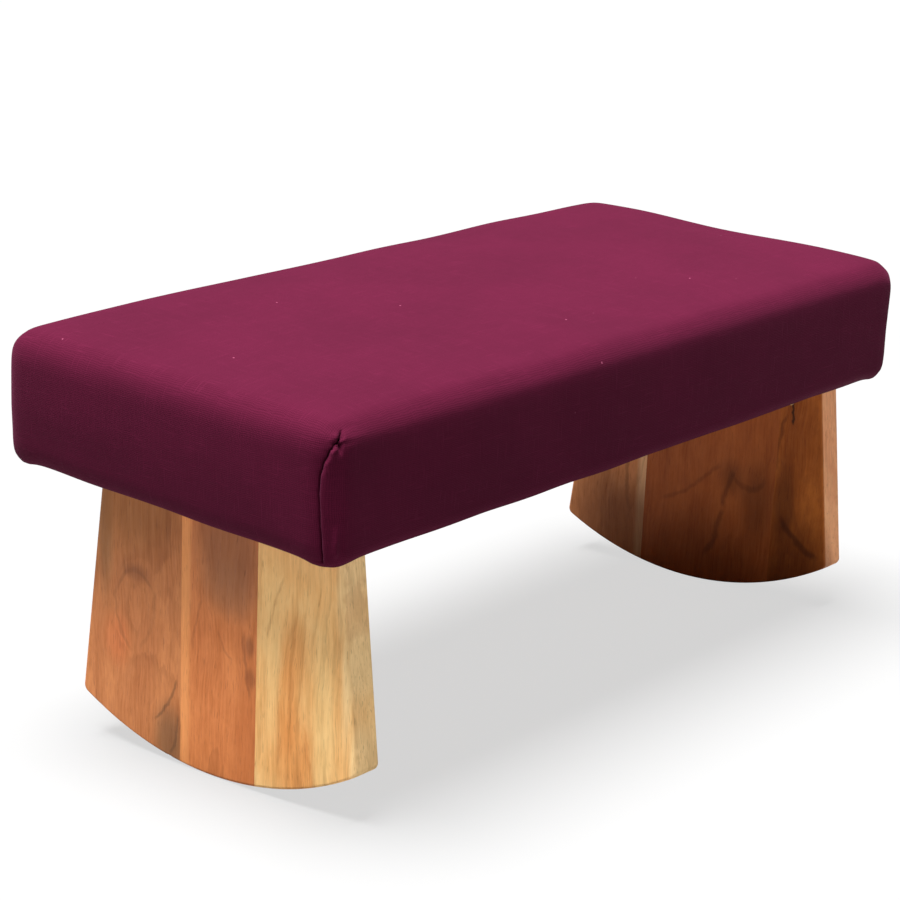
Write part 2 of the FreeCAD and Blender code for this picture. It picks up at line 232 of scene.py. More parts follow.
def new_group(name, inputs, outputs):
    """A shader node group with named sockets. Inputs map a name to its type and default."""
    group = bpy.data.node_groups.new(name, "ShaderNodeTree")
    for label, (kind, default) in inputs.items():
        socket = group.interface.new_socket(label, in_out="INPUT", socket_type="NodeSocket" + kind)
        socket.default_value = default
    for label, kind in outputs.items():
        group.interface.new_socket(label, in_out="OUTPUT", socket_type="NodeSocket" + kind)
    tree = Tree(group)
    given = tree.add("NodeGroupInput").outputs
    results = tree.add("NodeGroupOutput").inputs
    return tree, given, results


def new_material(name):
    """A material with only its Principled shader and output."""
    material = bpy.data.materials.new(name)
    material.use_nodes = True
    tree = Tree(material.node_tree)
    shader = material.node_tree.nodes["Principled BSDF"]
    return material, tree, shader


def link(tree, source, shader, socket):
    tree.tree.links.new(source, shader.inputs[socket])


def bench_coordinates(tree):
    """Object coordinates turned into the bench's own axes, in metres."""
    source = tree.add("ShaderNodeTexCoord").outputs["Object"]
    return tree.add("ShaderNodeMapping", {"Vector": source, "Location": BENCH.translation,
                                          "Rotation": (SLOPE, 0, 0)},
                    vector_type="TEXTURE").outputs["Vector"]


# Effects that several materials share

def soft_patch_group():
    """A ragged oval: 1 at its middle and 0 outside."""
    tree, given, results = new_group(
        "Soft Patch",
        {"Vector": ("Vector", (0, 0, 0)), "Centre": ("Vector", (0, 0, 0)),
         "Size": ("Vector", (1, 1, 1)), "Ragged": ("Float", 0.3), "Soft": ("Float", 0.6)},
        {"Mask": "Float"})
    away = tree.vector("SUBTRACT", given["Vector"], given["Centre"])
    reach = tree.vector("LENGTH", tree.vector("DIVIDE", away, given["Size"]))
    stretched = tree.vector("MULTIPLY", given["Vector"], (90, 90, 22))
    wobble = tree.math("SUBTRACT", tree.noise(stretched, 1.0, detail=4, roughness=0.6), 0.5)
    reach = tree.math("ADD", reach, tree.math("MULTIPLY", wobble, given["Ragged"]))
    inner = tree.math("SUBTRACT", 1.0, given["Soft"])
    outer = tree.math("ADD", 1.0, given["Soft"])
    tree.feed(results, Mask=tree.span(reach, inner, outer, 1.0, 0.0))


def vein_group():
    """A dark line between two points across Y and Z, bowed and a little shaky: 1 on the line."""
    tree, given, results = new_group(
        "Wood Vein",
        {"Vector": ("Vector", (0, 0, 0)), "Start": ("Vector", (0, 0, 0)), "End": ("Vector", (0, 0, 1)),
         "Bow": ("Float", 0.0), "Width": ("Float", 0.001)},
        {"Mask": "Float"})
    run = tree.vector("SUBTRACT", given["End"], given["Start"])
    square = tree.vector("CROSS_PRODUCT", (1, 0, 0), run)
    away = tree.vector("SUBTRACT", given["Vector"], given["Start"])
    along = tree.math("DIVIDE", tree.vector("DOT_PRODUCT", away, run),
                      tree.vector("DOT_PRODUCT", run, run))
    across = tree.math("DIVIDE", tree.vector("DOT_PRODUCT", away, square), tree.vector("LENGTH", run))
    bow = tree.math("MULTIPLY", tree.math("MULTIPLY", along, tree.math("SUBTRACT", 1.0, along)), 4.0)
    across = tree.math("SUBTRACT", across, tree.math("MULTIPLY", bow, given["Bow"]))
    shake = tree.math("SUBTRACT", tree.noise(given["Vector"], 130.0, detail=3), 0.5)
    across = tree.math("MULTIPLY_ADD", shake, 0.005, across)
    reach = tree.math("DIVIDE", tree.math("ABSOLUTE", across), given["Width"])
    mask = tree.math("MULTIPLY", tree.span(reach, 0.2, 1.0, 1.0, 0.0), tree.span(along, 0.0, 0.15))
    mask = tree.math("MULTIPLY", mask, tree.span(along, 0.85, 1.0, 1.0, 0.0))
    tree.feed(results, Mask=mask)


def grain_group():
    """Growth rings, fibre streaks, pores and mottling of one stave, whose grain runs along Z."""
    tree, given, results = new_group(
        "Wood Grain",
        {"Vector": ("Vector", (0, 0, 0)), "Pith": ("Vector", (0, 0, 0)), "Ring": ("Float", 0.006),
         "Wander": ("Float", 0.01), "Knot": ("Vector", (0, 0, 1)),
         "Knot Size": ("Vector", (0.01, 0.01, 0.01)), "Knot Rise": ("Float", 0.0),
         "Seed": ("Float", 0.0)},
        {"Figure": "Float", "Fibre": "Float", "Pores": "Float", "Cloud": "Float", "Mottle": "Float"})
    seed = tree.add("ShaderNodeCombineXYZ", {0: given["Seed"], 1: given["Seed"], 2: given["Seed"]})
    place = tree.vector("ADD", given["Vector"], seed.outputs[0])
    lean = tree.noise(tree.vector("MULTIPLY", place, (30, 30, 16)), 1.0, detail=2)
    lean = tree.math("SUBTRACT", lean, 0.5)
    lean = tree.add("ShaderNodeCombineXYZ", {1: tree.math("MULTIPLY", lean, 0.011)}).outputs[0]
    bent = tree.vector("ADD", place, lean)
    # Rings round a pith, thrown about by slow noise and by a knot
    away = tree.vector("MULTIPLY", tree.vector("SUBTRACT", given["Vector"], given["Pith"]), (1, 1, 0.06))
    slow = tree.vector("MULTIPLY", place, (26, 26, 8))
    drift = tree.math("SUBTRACT", tree.noise(slow, 1.0, detail=4, roughness=0.6, distortion=0.4), 0.5)
    knot_away = tree.vector("DIVIDE", tree.vector("SUBTRACT", given["Vector"], given["Knot"]),
                            given["Knot Size"])
    knot_reach = tree.vector("LENGTH", knot_away)
    knot_depth = tree.math("MULTIPLY", tree.math("MULTIPLY", knot_reach, knot_reach), -1.0)
    knot = tree.math("POWER", 2.718, knot_depth)
    height = tree.vector("LENGTH", away)
    height = tree.math("MULTIPLY_ADD", drift, given["Wander"], height)
    height = tree.math("MULTIPLY_ADD", knot, given["Knot Rise"], height)
    fine = tree.noise(tree.vector("MULTIPLY", bent, (220, 220, 40)), 1.0, detail=4, roughness=0.65)
    height = tree.math("MULTIPLY_ADD", tree.math("SUBTRACT", fine, 0.5), 0.0045, height)
    phase = tree.math("FRACT", tree.math("DIVIDE", height, given["Ring"]))
    line = tree.math("MULTIPLY", tree.span(phase, 0.55, 0.93), tree.span(phase, 0.93, 1.0, 1.0, 0.0))
    strength = tree.noise(tree.vector("MULTIPLY", place, (60, 60, 25)), 1.0, detail=2)
    strength = tree.span(strength, 0.35, 0.65, 0.25, 1.0)
    fibre = tree.noise(tree.vector("MULTIPLY", bent, (820, 820, 34)), 1.0, detail=4, roughness=0.7)
    dashes = tree.noise(tree.vector("MULTIPLY", bent, (1700, 1700, 120)), 1.0, detail=2)
    cloud = tree.noise(tree.vector("MULTIPLY", place, (48, 48, 20)), 1.0, detail=4, roughness=0.6)
    mottle = tree.noise(tree.vector("MULTIPLY", bent, (210, 210, 85)), 1.0, detail=5, roughness=0.7)
    tree.feed(results, Figure=tree.math("MULTIPLY", line, strength), Fibre=tree.span(fibre, 0.32, 0.68),
              Pores=tree.span(dashes, 0.60, 0.70), Cloud=tree.span(cloud, 0.3, 0.7),
              Mottle=tree.span(mottle, 0.35, 0.65))


def weave_group():
    """A plain weave on flat-cloth coordinates: thread height, thick threads, lint and fading."""
    tree, given, results = new_group(
        "Canvas Weave",
        {"Vector": ("Vector", (0, 0, 0)), "Pitch": ("Float", 0.00085)},
        {"Height": "Float", "Slubs": "Float", "Lint": "Float", "Fade": "Float", "Threads": "Float"})
    uneven = tree.noise(given["Vector"], 160.0, detail=2)
    jitter = tree.math("MULTIPLY", tree.math("SUBTRACT", uneven, 0.5), 0.0016)
    shifted = tree.vector("ADD", given["Vector"],
                          tree.add("ShaderNodeCombineXYZ", {0: jitter, 1: jitter}).outputs[0])
    parts = tree.add("ShaderNodeSeparateXYZ", {0: shifted}).outputs
    waves = [tree.math("SINE", tree.math("MULTIPLY", tree.math("DIVIDE", parts[axis], given["Pitch"]),
                                         math.pi)) for axis in (0, 1)]
    over = tree.math("MULTIPLY", *waves)
    crown = tree.math("ABSOLUTE", over)
    lengthwise = tree.noise(tree.vector("MULTIPLY", given["Vector"], (60, 1500, 0)), 1.0, detail=1)
    crosswise = tree.noise(tree.vector("MULTIPLY", given["Vector"], (1500, 60, 0)), 1.0, detail=1)
    slubs = tree.math("MAXIMUM", tree.span(lengthwise, 0.62, 0.78), tree.span(crosswise, 0.62, 0.78))
    long_threads = tree.noise(tree.vector("MULTIPLY", given["Vector"], (25, 1100, 0)), 1.0, detail=3)
    cross_threads = tree.noise(tree.vector("MULTIPLY", given["Vector"], (1100, 25, 0)), 1.0, detail=3)
    threads = tree.math("ADD", long_threads, cross_threads)
    specks = tree.add("ShaderNodeTexVoronoi", {"Vector": given["Vector"], "Scale": 95.0}).outputs
    near = tree.span(specks["Distance"], 0.03, 0.06, 1.0, 0.0)
    chosen = tree.add("ShaderNodeSeparateColor", {0: specks["Color"]}).outputs[0]
    rare = tree.math("GREATER_THAN", chosen, 0.93)
    fade = tree.noise(given["Vector"], 14.0, detail=3)
    tree.feed(results, Height=tree.math("MULTIPLY_ADD", slubs, 0.6, crown), Slubs=slubs,
              Threads=tree.span(threads, 0.7, 1.3), Lint=tree.math("MULTIPLY", near, rare),
              Fade=tree.span(fade, 0.3, 0.7))


# Materials

def canvas_material(settings):
    material, tree, shader = new_material("burgundy canvas")
    flat = tree.add("ShaderNodeUVMap", uv_map="flat_cloth").outputs[0]
    weave = tree.group("Canvas Weave", Vector=flat)
    base = tree.mix(weave["Fade"], [value * 0.93 for value in settings.cloth_colour],
                    [value * 1.07 for value in settings.cloth_colour])
    base = tree.mix(tree.math("MULTIPLY", weave["Threads"], 0.16), base, settings.slub_colour)
    # Painted shade: the valleys between the threads are darkened
    valley_shade = tree.span(weave["Height"], 0.0, 0.5, 0.50, 0.0)
    base = tree.mix(valley_shade, base, (0.024, 0.0012, 0.0062))
    base = tree.mix(tree.math("MULTIPLY", weave["Slubs"], 0.18), base, settings.slub_colour)
    base = tree.mix(tree.math("MULTIPLY", weave["Lint"], 0.55), base, (0.36, 0.09, 0.16))
    link(tree, base, shader, "Base Color")
    link(tree, tree.span(weave["Height"], 0.0, 1.2, 0.95, 0.8), shader, "Roughness")
    bump = tree.add("ShaderNodeBump", {"Height": weave["Height"], "Strength": 0.27, "Distance": 0.0003})
    link(tree, bump.outputs[0], shader, "Normal")
    shader.inputs["Sheen Weight"].default_value = 0.06
    shader.inputs["Sheen Roughness"].default_value = 0.4
    shader.inputs["Sheen Tint"].default_value = (0.9, 0.2, 0.45, 1)
    shader.inputs["Specular IOR Level"].default_value = 0.06
    return material


def foam_material(settings):
    material, tree, shader = new_material("open-cell foam")
    place = bench_coordinates(tree)
    cells = tree.add("ShaderNodeTexVoronoi", {"Vector": place, "Scale": 900.0}).outputs["Distance"]
    cloud = tree.noise(place, 20.0, detail=3)
    base = tree.mix(tree.span(cells, 0.1, 0.6), [value * 0.6 for value in settings.foam_colour],
                    settings.foam_colour)
    base = tree.mix(tree.span(cloud, 0.4, 0.8, 0.0, 0.35), base, (0.6, 0.42, 0.2))
    link(tree, base, shader, "Base Color")
    bump = tree.add("ShaderNodeBump", {"Height": cells, "Strength": 0.6, "Distance": 0.0006})
    link(tree, bump.outputs[0], shader, "Normal")
    shader.inputs["Roughness"].default_value = 0.95
    return material


# The staves' wood. Patches hold a middle, a reach, a colour and a strength; veins hold a start, an
# end, a bow, a width, a colour and a strength. Middles, reaches, starts and ends are Y and Z on the
# stave's face, in the bench's axes and in metres. A face is its place along X and how deep into the
# wood its patches go.
OUTER_FACE = (-0.203, 0.03)
INNER_FACE = (0.187, 0.008)
WOODS = {
    "left_front_wood": {
        "light": (0.99, 0.63, 0.26), "dark": (0.92, 0.47, 0.15),
        "pith": (-0.17, -0.02, -0.1), "ring": 0.006, "wander": 0.022, "seed": 1.3,
        "face": OUTER_FACE,
        "patches": [
            ((-0.062, -0.062), (0.007, 0.018), (0.779, 0.312, 0.078), 0.55),
            ((-0.059, -0.088), (0.006, 0.022), (0.826, 0.312, 0.071), 0.6),
            ((-0.064, -0.112), (0.013, 0.022), (0.779, 0.284, 0.064), 0.6),
            ((-0.049, -0.066), (0.004, 0.04), (0.98, 0.66, 0.28), 0.4),
            ((-0.082, -0.09), (0.006, 0.05), (0.98, 0.7, 0.3), 0.5),
            # Painted shade: a darker band at the top of the stave, under the cushion's overhang
            ((-0.06, -0.004), (0.04, 0.016), (0.8, 0.46, 0.18), 0.4),
            # Painted highlight: the leg's front edge made lighter, standing in for light from the front
            ((-0.0915, -0.01), (0.0032, 0.03), (0.99, 0.7, 0.34), 0.85),
            ((-0.096, -0.055), (0.0032, 0.035), (0.99, 0.7, 0.34), 0.85),
            ((-0.102, -0.105), (0.0032, 0.035), (0.99, 0.7, 0.34), 0.85),
        ],
        "veins": [
            ((-0.056, -0.022), (-0.045, -0.058), 0.001, 0.0012, (0.6, 0.28, 0.09), 0.35),
            ((-0.092, -0.014), (-0.095, -0.046), 0.0, 0.0012, (0.7, 0.38, 0.16), 0.4),
            ((-0.07, -0.09), (-0.077, -0.125), 0.001, 0.0014, (0.7, 0.26, 0.06), 0.4),
        ],
    },
    "left_middle_wood": {
        "light": (0.786, 0.274, 0.086), "dark": (0.584, 0.17, 0.045),
        "pith": (-0.15, -0.02, -0.05), "ring": 0.0105, "wander": 0.04, "seed": 4.1,
        "face": OUTER_FACE,
        "patches": [
            # Painted shade: a darker band at the top of the stave, under the cushion's overhang
            ((-0.02, -0.02), (0.022, 0.024), (0.24, 0.088, 0.037), 0.75),
            ((-0.02, -0.04), (0.017, 0.012), (0.384, 0.153, 0.064), 0.5),
            ((-0.0345, -0.064), (0.0028, 0.005), (0.24, 0.075, 0.026), 0.55),
            ((-0.0355, -0.08), (0.0028, 0.005), (0.24, 0.075, 0.026), 0.55),
            ((-0.033, -0.112), (0.009, 0.03), (0.504, 0.136, 0.032), 0.5),
            ((0.0085, -0.07), (0.0032, 0.2), (0.888, 0.366, 0.118), 0.75),
        ],
        "veins": [
            ((0.003, -0.078), (-0.004, -0.048), -0.002, 0.0012, (0.38, 0.11, 0.035), 0.35),
            ((-0.014, -0.06), (-0.024, -0.074), 0.003, 0.0012, (0.38, 0.11, 0.035), 0.3),
            ((-0.03, -0.056), (-0.036, -0.092), 0.001, 0.0016, (0.28, 0.08, 0.025), 0.45),
        ],
    },
    "left_rear_wood": {
        "light": (0.695, 0.267, 0.092), "dark": (0.505, 0.166, 0.053),
        "pith": (-0.15, 0.045, -0.06), "ring": 0.0075, "wander": 0.024, "seed": 7.7,
        "knot": (0.042, -0.066), "knot_size": (0.014, 0.026), "knot_rise": 0.017,
        "face": OUTER_FACE,
        "patches": [
            ((0.019, -0.128), (0.009, 0.016), (0.209, 0.102, 0.045), 0.75),
            ((0.042, -0.048), (0.009, 0.004), (0.32, 0.108, 0.04), 0.55),
            ((0.055, -0.086), (0.008, 0.012), (0.738, 0.204, 0.064), 0.55),
            ((0.064, -0.03), (0.005, 0.03), (0.246, 0.12, 0.045), 0.6),
            # Painted shade: a darker band at the top of the stave, under the cushion's overhang
            ((0.044, -0.008), (0.036, 0.028), (0.28, 0.1, 0.022), 0.72),
        ],
        "veins": [
            ((0.056, -0.062), (0.029, -0.056), -0.012, 0.0024, (0.28, 0.1, 0.036), 0.42),
            ((0.055, -0.056), (0.044, -0.09), 0.006, 0.0018, (0.32, 0.11, 0.038), 0.36),
            ((0.03, -0.052), (0.041, -0.088), -0.005, 0.0018, (0.34, 0.12, 0.038), 0.32),
            ((0.013, -0.094), (0.03, -0.121), -0.002, 0.0014, (0.15, 0.07, 0.03), 0.55),
            ((0.013, -0.112), (0.018, -0.136), -0.002, 0.0013, (0.15, 0.07, 0.03), 0.5),
        ],
    },
    "right_front_wood": {
        "light": (0.912, 0.448, 0.209), "dark": (0.812, 0.303, 0.122),
        # The inner face's pair of colours is painted shade: a copy of the wood tuned to the shade under
        # the seat
        "shaded_inner_light": (0.598, 0.18, 0.03), "shaded_inner_dark": (0.281, 0.062, 0.006),
        "pith": (0.24, -0.05, -0.08), "ring": 0.012, "wander": 0.04, "seed": 2.9,
        "face": INNER_FACE,
        "patches": [
            ((-0.072, -0.078), (0.007, 0.022), (0.1, 0.02, 0.002), 0.65),
            # Painted shade: darker towards the foot of the leg, near the floor
            ((-0.085, -0.14), (0.04, 0.045), (0.098, 0.016, 0.001), 0.85),
        ],
        "veins": [
            ((-0.073, -0.014), (-0.0745, -0.03), 0.001, 0.0011, (0.03, 0.01, 0.003), 0.9),
            ((-0.07, -0.083), (-0.098, -0.104), 0.004, 0.003, (0.04, 0.008, 0.001), 0.55),
            ((-0.07, -0.022), (-0.066, -0.06), 0.002, 0.0016, (0.12, 0.03, 0.006), 0.5),
        ],
    },
    "right_middle_wood": {
        "light": (0.66, 0.26, 0.12), "dark": (0.5, 0.17, 0.07),
        "shaded_inner_light": (0.493, 0.137, 0.03), "shaded_inner_dark": (0.34, 0.081, 0.014),
        "pith": (0.25, -0.03, -0.09), "ring": 0.015, "wander": 0.06, "seed": 9.4,
        "face": INNER_FACE,
        "patches": [
            ((-0.054, -0.08), (0.01, 0.022), (0.14, 0.034, 0.006), 0.6),
            ((-0.036, -0.07), (0.007, 0.01), (0.154, 0.041, 0.009), 0.55),
            # Painted shade: darker towards the foot of the leg, near the floor
            ((-0.02, -0.145), (0.06, 0.04), (0.15, 0.03, 0.003), 0.8),
        ],
        "veins": [
            ((-0.037, -0.064), (-0.031, -0.09), 0.001, 0.0026, (0.08, 0.018, 0.004), 0.45),
            ((-0.031, -0.088), (-0.02, -0.122), -0.002, 0.0026, (0.06, 0.014, 0.002), 0.45),
            ((-0.035, -0.068), (-0.06, -0.064), 0.008, 0.003, (0.09, 0.02, 0.005), 0.35),
            ((0.014, -0.096), (-0.03, -0.06), 0.003, 0.002, (0.15, 0.04, 0.01), 0.35),
        ],
    },
    "right_rear_wood": {
        "light": (0.6, 0.3, 0.14), "dark": (0.44, 0.2, 0.09),
        "shaded_inner_light": (0.768, 0.314, 0.118), "shaded_inner_dark": (0.504, 0.186, 0.059),
        "pith": (0.26, 0.06, -0.08), "ring": 0.009, "wander": 0.026, "seed": 5.5,
        "face": INNER_FACE,
        "patches": [
            ((0.0262, -0.06), (0.0035, 0.2), (0.98, 0.62, 0.34), 0.92),
            # Painted shade: darker towards the foot of the leg, near the floor
            ((0.03, -0.12), (0.05, 0.03), (0.165, 0.042, 0.008), 0.75),
        ],
        "veins": [
            ((0.038, -0.06), (0.034, -0.11), 0.002, 0.0024, (0.14, 0.05, 0.016), 0.4),
        ],
    },
    "board_wood": {
        "light": (0.66, 0.38, 0.17), "dark": (0.5, 0.25, 0.1),
        "pith": (0.0, 0.0, 0.06), "ring": 0.007, "wander": 0.024, "seed": 3.3,
        "face": OUTER_FACE,
        "patches": [],
        "veins": [],
    },
}


def wood_material(name):
    """Oiled wood. A board's grain runs along X and a leg's along Z."""
    wood = WOODS[name]
    material, tree, shader = new_material(name.replace("_", " "))
    place = bench_coordinates(tree)
    light, dark, veined = wood["light"], wood["dark"], 1.0
    face, depth = wood["face"]
    if name == "board_wood":
        place = tree.add("ShaderNodeMapping", {"Vector": place, "Rotation": (0, math.radians(90), 0)},
                         vector_type="POINT").outputs[0]
    # Painted shade: the far leg's inner face, under the seat, gets its own copy of the wood's colours,
    # tuned to the shade that falls there
    if "shaded_inner_light" in wood:
        across = tree.add("ShaderNodeSeparateXYZ", {0: place}).outputs[0]
        inner = tree.span(across, INNER_FACE[0] + 0.0004, INNER_FACE[0] + 0.0014, 1.0, 0.0)
        veined = tree.math("MULTIPLY_ADD", inner, 0.85, 0.15)
        light = tree.mix(inner, light, wood["shaded_inner_light"])
        dark = tree.mix(inner, dark, wood["shaded_inner_dark"])
    knot = {}
    if "knot" in wood:
        knot = {"Knot": (face, *wood["knot"]), "Knot_Size": (depth, *wood["knot_size"]),
                "Knot_Rise": wood["knot_rise"]}
    grain = tree.group("Wood Grain", Vector=place, Pith=wood["pith"], Ring=wood["ring"],
                       Wander=wood["wander"], Seed=wood["seed"], **knot)
    base = tree.mix(tree.math("MULTIPLY", grain["Cloud"], 0.6), light, dark)
    base = tree.mix(tree.math("MULTIPLY", grain["Mottle"], 0.35), base, dark)
    for middle, reach, colour, strength in wood["patches"]:
        patch = tree.group("Soft Patch", Vector=place, Centre=(face, *middle), Size=(depth, *reach))
        base = tree.mix(tree.math("MULTIPLY", patch["Mask"], strength), base, colour)
    deep = tree.mix(1.0, base, (0.52, 0.42, 0.34), blend="MULTIPLY")
    base = tree.mix(tree.math("MULTIPLY", grain["Figure"], 0.32), base, deep)
    for start, end, bow, width, colour, strength in wood["veins"]:
        vein = tree.group("Wood Vein", Vector=place, Start=(face, *start), End=(face, *end), Bow=bow,
                          Width=width)
        marked = tree.math("MULTIPLY", tree.math("MULTIPLY", vein["Mask"], strength), veined)
        base = tree.mix(marked, base, colour)
    streaks = tree.math("MULTIPLY", grain["Fibre"],
                        tree.math("MULTIPLY_ADD", grain["Cloud"], 0.48, 0.16))
    base = tree.mix(streaks, base, tree.mix(1.0, base, (0.66, 0.55, 0.45), blend="MULTIPLY"))
    base = tree.mix(tree.math("MULTIPLY", grain["Pores"], 0.42), base,
                    tree.mix(1.0, base, (0.42, 0.34, 0.28), blend="MULTIPLY"))
    link(tree, base, shader, "Base Color")
    roughness = tree.math("MULTIPLY_ADD", grain["Fibre"], 0.16, 0.48)
    link(tree, roughness, shader, "Roughness")
    height = tree.math("MULTIPLY_ADD", grain["Pores"], -1.0, tree.math("MULTIPLY", grain["Fibre"], -0.5))
    bump = tree.add("ShaderNodeBump", {"Height": height, "Strength": 0.30, "Distance": 0.00025})
    link(tree, bump.outputs[0], shader, "Normal")
    shader.inputs["Specular IOR Level"].default_value = 0.18
    return material


def metal_material(name, colour, tarnish, roughness):
    """Rolled metal with faint rolling lines and a little tarnish."""
    material, tree, shader = new_material(name)
    place = bench_coordinates(tree)
    lines = tree.noise(tree.vector("MULTIPLY", place, (400, 2600, 2600)), 1.0, detail=3)
    stains = tree.noise(place, 170.0, detail=4, roughness=0.6)
    base = tree.mix(tree.span(stains, 0.42, 0.72), colour, tarnish)
    link(tree, base, shader, "Base Color")
    low, high = roughness
    link(tree, tree.span(tree.math("ADD", lines, stains), 0.7, 1.3, low, high), shader, "Roughness")
    bump = tree.add("ShaderNodeBump", {"Height": lines, "Strength": 0.2, "Distance": 0.0001})
    link(tree, bump.outputs[0], shader, "Normal")
    shader.inputs["Metallic"].default_value = 1.0
    return material


def paint_nodes(material, nodes):
    """Give CAD nodes a material in place of their own."""
    for node in nodes:
        for slot in frame["nodes"][node].material_slots:
            slot.material = material


# Meshes

def padded_block(low, high, corner, top, bottom, segments=6):
    """A bmesh block between two corners with its upright, upper and lower edges rounded."""
    mesh = bmesh.new()
    bmesh.ops.create_cube(mesh, size=1.0)
    bmesh.ops.scale(mesh, vec=high - low, verts=mesh.verts)
    bmesh.ops.translate(mesh, vec=(high + low) / 2, verts=mesh.verts)
    upright = [edge for edge in mesh.edges if abs(edge.verts[0].co.z - edge.verts[1].co.z) > 1e-6]
    bmesh.ops.bevel(mesh, geom=upright, offset=corner, segments=segments, profile=0.5,
                    affect="EDGES", material=-1)
    for level, radius in ((high.z, top), (low.z, bottom)):
        ring = [edge for edge in mesh.edges
                if all(abs(vertex.co.z - level) < 1e-6 for vertex in edge.verts)]
        bmesh.ops.bevel(mesh, geom=ring, offset=radius, segments=segments, profile=0.5,
                        affect="EDGES", material=-1)
    return mesh


def to_object(mesh, name):
    """Write a bmesh to a new object in the scene."""
    data = bpy.data.meshes.new(name)
    mesh.to_mesh(data)
    mesh.free()
    item = bpy.data.objects.new(name, data)
    bpy.context.scene.collection.objects.link(item)
    return item


def apply_modifiers(item):
    """Replace an object's mesh with the one that its modifiers make."""
    graph = bpy.context.evaluated_depsgraph_get()
    data = bpy.data.meshes.new_from_object(item.evaluated_get(graph))
    old = item.data
    item.modifiers.clear()
    item.data = data
    bpy.data.meshes.remove(old)


def add_modifier(item, kind, **settings):
    modifier = item.modifiers.new(kind.title(), kind)
    for name, value in settings.items():
        setattr(modifier, name, value)
    return modifier


def swell(item, settings, held):
    """Press the cloth outward from within, keep the held points still and cap the movement."""
    group = item.vertex_groups.new(name="held")
    for vertex in item.data.vertices:
        weight = held(vertex.co)
        if weight > 0:
            group.add([vertex.index], weight, "REPLACE")
    start, outward = read_mesh(item)
    cloth = item.modifiers.new("Cloth", "CLOTH")
    cloth.settings.quality = 6
    cloth.settings.use_pressure = True
    cloth.settings.uniform_pressure_force = settings.pressure
    cloth.settings.vertex_group_mass = "held"
    cloth.settings.effector_weights.gravity = 0
    cloth.settings.tension_stiffness = 40
    cloth.settings.compression_stiffness = 40
    cloth.settings.shear_stiffness = 20
    cloth.settings.bending_stiffness = 2
    cloth.point_cache.frame_start = 1
    cloth.point_cache.frame_end = settings.swell_frames
    scene = bpy.context.scene
    for number in range(1, settings.swell_frames + 1):
        scene.frame_set(number)
    apply_modifiers(item)
    scene.frame_set(1)
    item.vertex_groups.clear()
    swollen, _ = read_mesh(item)
    along = ((swollen - start) * outward).sum(axis=1)
    kept = np.clip(along, -settings.most_pull_in, settings.most_swell)
    edges = np.empty(len(item.data.edges) * 2, dtype=int)
    item.data.edges.foreach_get("vertices", edges)
    first, second = edges.reshape(-1, 2).T
    free = np.array([held(Vector(point)) == 0 for point in start])
    for _ in range(settings.crown_smoothing):
        total = np.zeros(len(kept))
        count = np.zeros(len(kept))
        for here, there in ((first, second), (second, first)):
            np.add.at(total, here, kept[there])
            np.add.at(count, here, 1)
        kept = np.where(free, 0.5 * kept + 0.5 * total / count, 0)
    write_points(item, start + outward * kept[:, None])


def flat_cloth_uv(item):
    """Lay the cover out flat, in metres: the top in the middle and the sides folded out."""
    data = item.data
    layer = data.uv_layers.new(name="flat_cloth")
    half_length, half_depth, top = COVER_HIGH.x, COVER_HIGH.y, COVER_HIGH.z
    for face in data.polygons:
        normal = face.normal
        for index in face.loop_indices:
            point = data.vertices[data.loops[index].vertex_index].co
            drop = top - point.z
            if abs(normal.z) >= max(abs(normal.x), abs(normal.y)):
                place = (point.x, point.y)
            elif abs(normal.y) >= abs(normal.x):
                place = (point.x, math.copysign(half_depth + drop, normal.y))
            else:
                place = (math.copysign(half_length + drop, normal.x), point.y)
            layer.data[index].uv = place


# The corner fold: at the front left corner the long side's cloth laps round onto the end. Its
# features each have the distance that they move the cloth outward, and their width.

FOLD_GROOVE = (-0.0036, 0.0009)
FOLD_LAP = (0.0019, 0.007)
FOLD_DIP = (-0.0012, 0.0030)
FOLD_ROLL = (-0.0011, 0.0018)
FOLD_REACH = 0.04
FOLD_FOOT = 0.001
FOLD_TOP = 0.0570
FOLD_TOP_FADE = 0.0040
# The pucker at its top: outward, place round the corner and width, height and width
PUCKER_PIT = (-0.0036, 0.0036, 0.0011, 0.0550, 0.0030)
PUCKER_LIP = (0.0018, 0.0010, 0.0022, 0.0585, 0.0018)
# The ridge of spare cloth at its foot: outward, place round the corner and width
SPARE_RIDGE = (0.0016, 0.0024, 0.0018)

# The folded edge's height above the board's underside, and how far round the corner it lies there
FOLD_PATH = ((0.000, -0.0042), (0.010, -0.0054), (0.022, -0.0067), (0.033, -0.0077),
             (0.040, -0.0074), (0.046, -0.0056), (0.051, -0.0026), (0.055, 0.0010), (0.0575, 0.0045))


def fold_line(height):
    """How far round the corner the folded edge lies at a height above the board's underside."""
    height = min(max(height, FOLD_PATH[0][0]), FOLD_PATH[-1][0])
    for (low, start), (high, end) in zip(FOLD_PATH, FOLD_PATH[1:]):
        if height <= high:
            share = (height - low) / (high - low)
            share = share * share * (3 - 2 * share)
            return start + (end - start) * share
    return FOLD_PATH[-1][1]


def near_fold(point, reach=0.024):
    """True for points of the sides close to the front left corner."""
    return (point.x < COVER_LOW.x + reach and point.y < COVER_LOW.y + reach)


def fade_out(value, start, length):
    """1 below a start, falling to 0 over a length."""
    return 1 - min(1, max(0, (value - start) / length))


def hump(offset, width):
    """1 where the offset is 0, falling smoothly to 0 on both sides."""
    return math.exp(-(offset / width) ** 2)


def pucker(around, height, feature):
    outward, place, width, level, tall = feature
    return outward * hump(around - place, width) * hump(height - level, tall)


